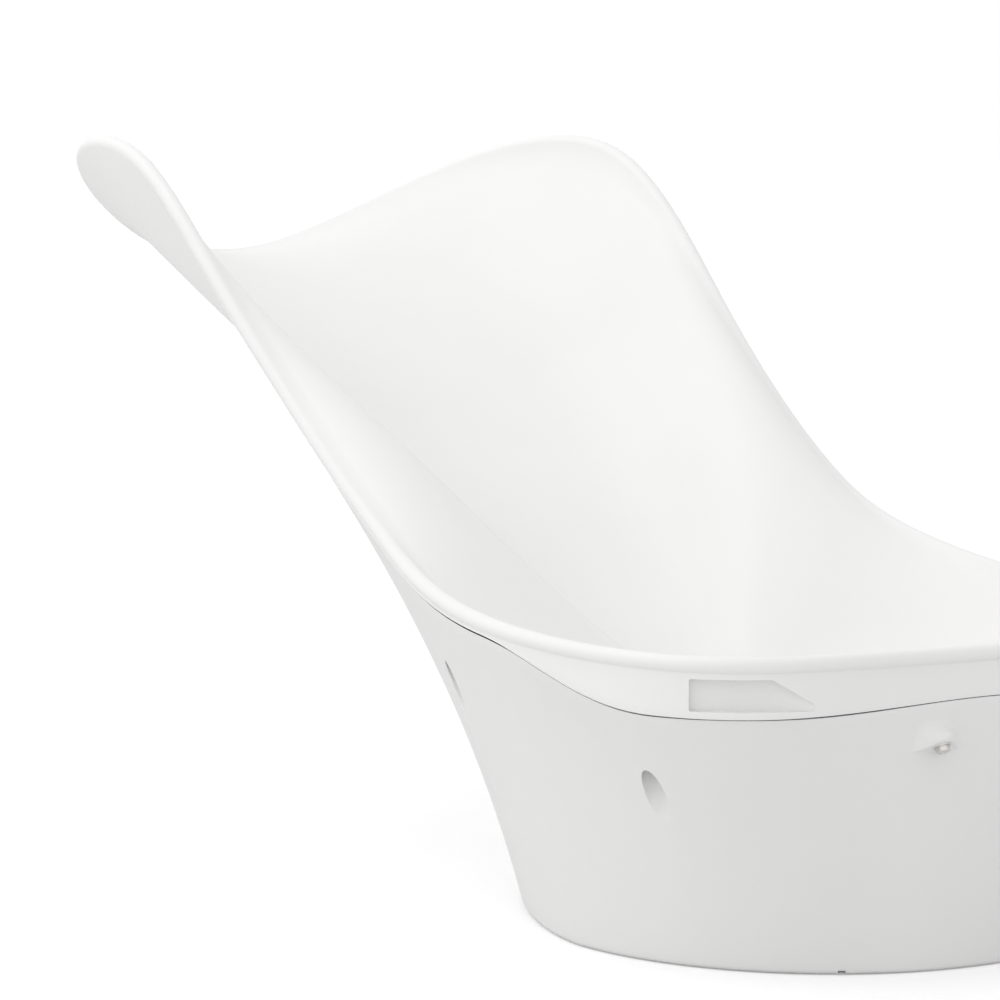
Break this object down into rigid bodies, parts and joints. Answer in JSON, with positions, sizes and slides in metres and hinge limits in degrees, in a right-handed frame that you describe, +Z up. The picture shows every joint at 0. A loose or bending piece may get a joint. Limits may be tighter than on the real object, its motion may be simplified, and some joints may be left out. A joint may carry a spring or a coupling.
{
  "type": "in-pool sun lounger",
  "caption": "White moulded in-pool sun lounger: a deep scooped seat shell with a rolled rim and raised head corners, bolted to a flared hollow pedestal with bolt bores.",
  "frame": {"origin": "On the floor under the middle of the whole lounger's box.", "axes": "+X points to the foot end, +Y to the sitter's left, +Z up."},
  "size_m": [1.6663, 0.7794, 0.8588],
  "materials": {
    "shell_plastic": "satin moulded white polyethylene",
    "stainless_steel": "plain stainless steel",
    "brass": "turned brass",
    "pad_rubber": "soft matt rubber"
  },
  "bodies": {
    "lounger": {"seat_shell": "shell_plastic", "base_shell": "shell_plastic", "insert_front_left": "brass", "insert_front_right": "brass", "insert_side_left": "brass", "insert_side_right": "brass", "insert_rear_left": "brass", "insert_rear_right": "brass", "foot_pad_front_left": "pad_rubber", "foot_pad_front_right": "pad_rubber", "foot_pad_rear_left": "pad_rubber", "foot_pad_rear_right": "pad_rubber"},
    "washer_front_left": {"washer_front_left": "stainless_steel"},
    "bolt_front_left": {"bolt_front_left": "stainless_steel"},
    "washer_front_right": {"washer_front_right": "stainless_steel"},
    "bolt_front_right": {"bolt_front_right": "stainless_steel"},
    "washer_side_left": {"washer_side_left": "stainless_steel"},
    "bolt_side_left": {"bolt_side_left": "stainless_steel"},
    "washer_side_right": {"washer_side_right": "stainless_steel"},
    "bolt_side_right": {"bolt_side_right": "stainless_steel"},
    "washer_rear_left": {"washer_rear_left": "stainless_steel"},
    "bolt_rear_left": {"bolt_rear_left": "stainless_steel"},
    "washer_rear_right": {"washer_rear_right": "stainless_steel"},
    "bolt_rear_right": {"bolt_rear_right": "stainless_steel"}
  },
  "joints": [
    {"name": "washer_front_left_travel", "type": "slide", "parent": "lounger", "child": "washer_front_left", "axis": [0.4999, 0.0116, -0.866], "range_m": [0, 0.018]},
    {"name": "bolt_front_left_turn", "type": "hinge", "parent": "washer_front_left", "child": "bolt_front_left", "pos_m": [0.81845, 0.07286, 0.24], "axis": [0.4999, 0.0116, -0.866], "range_deg": [0, 5184]},
    {"name": "washer_front_right_travel", "type": "slide", "parent": "lounger", "child": "washer_front_right", "axis": [0.4999, -0.0116, -0.866], "range_m": [0, 0.018]},
    {"name": "bolt_front_right_turn", "type": "hinge", "parent": "washer_front_right", "child": "bolt_front_right", "pos_m": [0.81845, -0.07286, 0.24], "axis": [0.4999, -0.0116, -0.866], "range_deg": [0, 5184]},
    {"name": "washer_side_left_travel", "type": "slide", "parent": "lounger", "child": "washer_side_left", "axis": [0, 0, -1], "range_m": [0, 0.018]},
    {"name": "bolt_side_left_turn", "type": "hinge", "parent": "washer_side_left", "child": "bolt_side_left", "pos_m": [0.65515, 0.3138, 0.236], "axis": [0, 0, -1], "range_deg": [0, 5184]},
    {"name": "washer_side_right_travel", "type": "slide", "parent": "lounger", "child": "washer_side_right", "axis": [0, 0, -1], "range_m": [0, 0.018]},
    {"name": "bolt_side_right_turn", "type": "hinge", "parent": "washer_side_right", "child": "bolt_side_right", "pos_m": [0.65515, -0.3138, 0.236], "axis": [0, 0, -1], "range_deg": [0, 5184]},
    {"name": "washer_rear_left_travel", "type": "slide", "parent": "lounger", "child": "washer_rear_left", "axis": [0, 0, -1], "range_m": [0, 0.018]},
    {"name": "bolt_rear_left_turn", "type": "hinge", "parent": "washer_rear_left", "child": "bolt_rear_left", "pos_m": [0.26184, 0.30711, 0.3], "axis": [0, 0, -1], "range_deg": [0, 5184]},
    {"name": "washer_rear_right_travel", "type": "slide", "parent": "lounger", "child": "washer_rear_right", "axis": [0, 0, -1], "range_m": [0, 0.018]},
    {"name": "bolt_rear_right_turn", "type": "hinge", "parent": "washer_rear_right", "child": "bolt_rear_right", "pos_m": [0.26184, -0.30711, 0.3], "axis": [0, 0, -1], "range_deg": [0, 5184]}
  ],
  "couplings": [
    {"joint": "bolt_front_left_turn", "follows": "washer_front_left_travel", "rad_per_m": 5026.5},
    {"joint": "bolt_front_right_turn", "follows": "washer_front_right_travel", "rad_per_m": 5026.5},
    {"joint": "bolt_side_left_turn", "follows": "washer_side_left_travel", "rad_per_m": 5026.5},
    {"joint": "bolt_side_right_turn", "follows": "washer_side_right_travel", "rad_per_m": 5026.5},
    {"joint": "bolt_rear_left_turn", "follows": "washer_rear_left_travel", "rad_per_m": 5026.5},
    {"joint": "bolt_rear_right_turn", "follows": "washer_rear_right_travel", "rad_per_m": 5026.5}
  ]
}
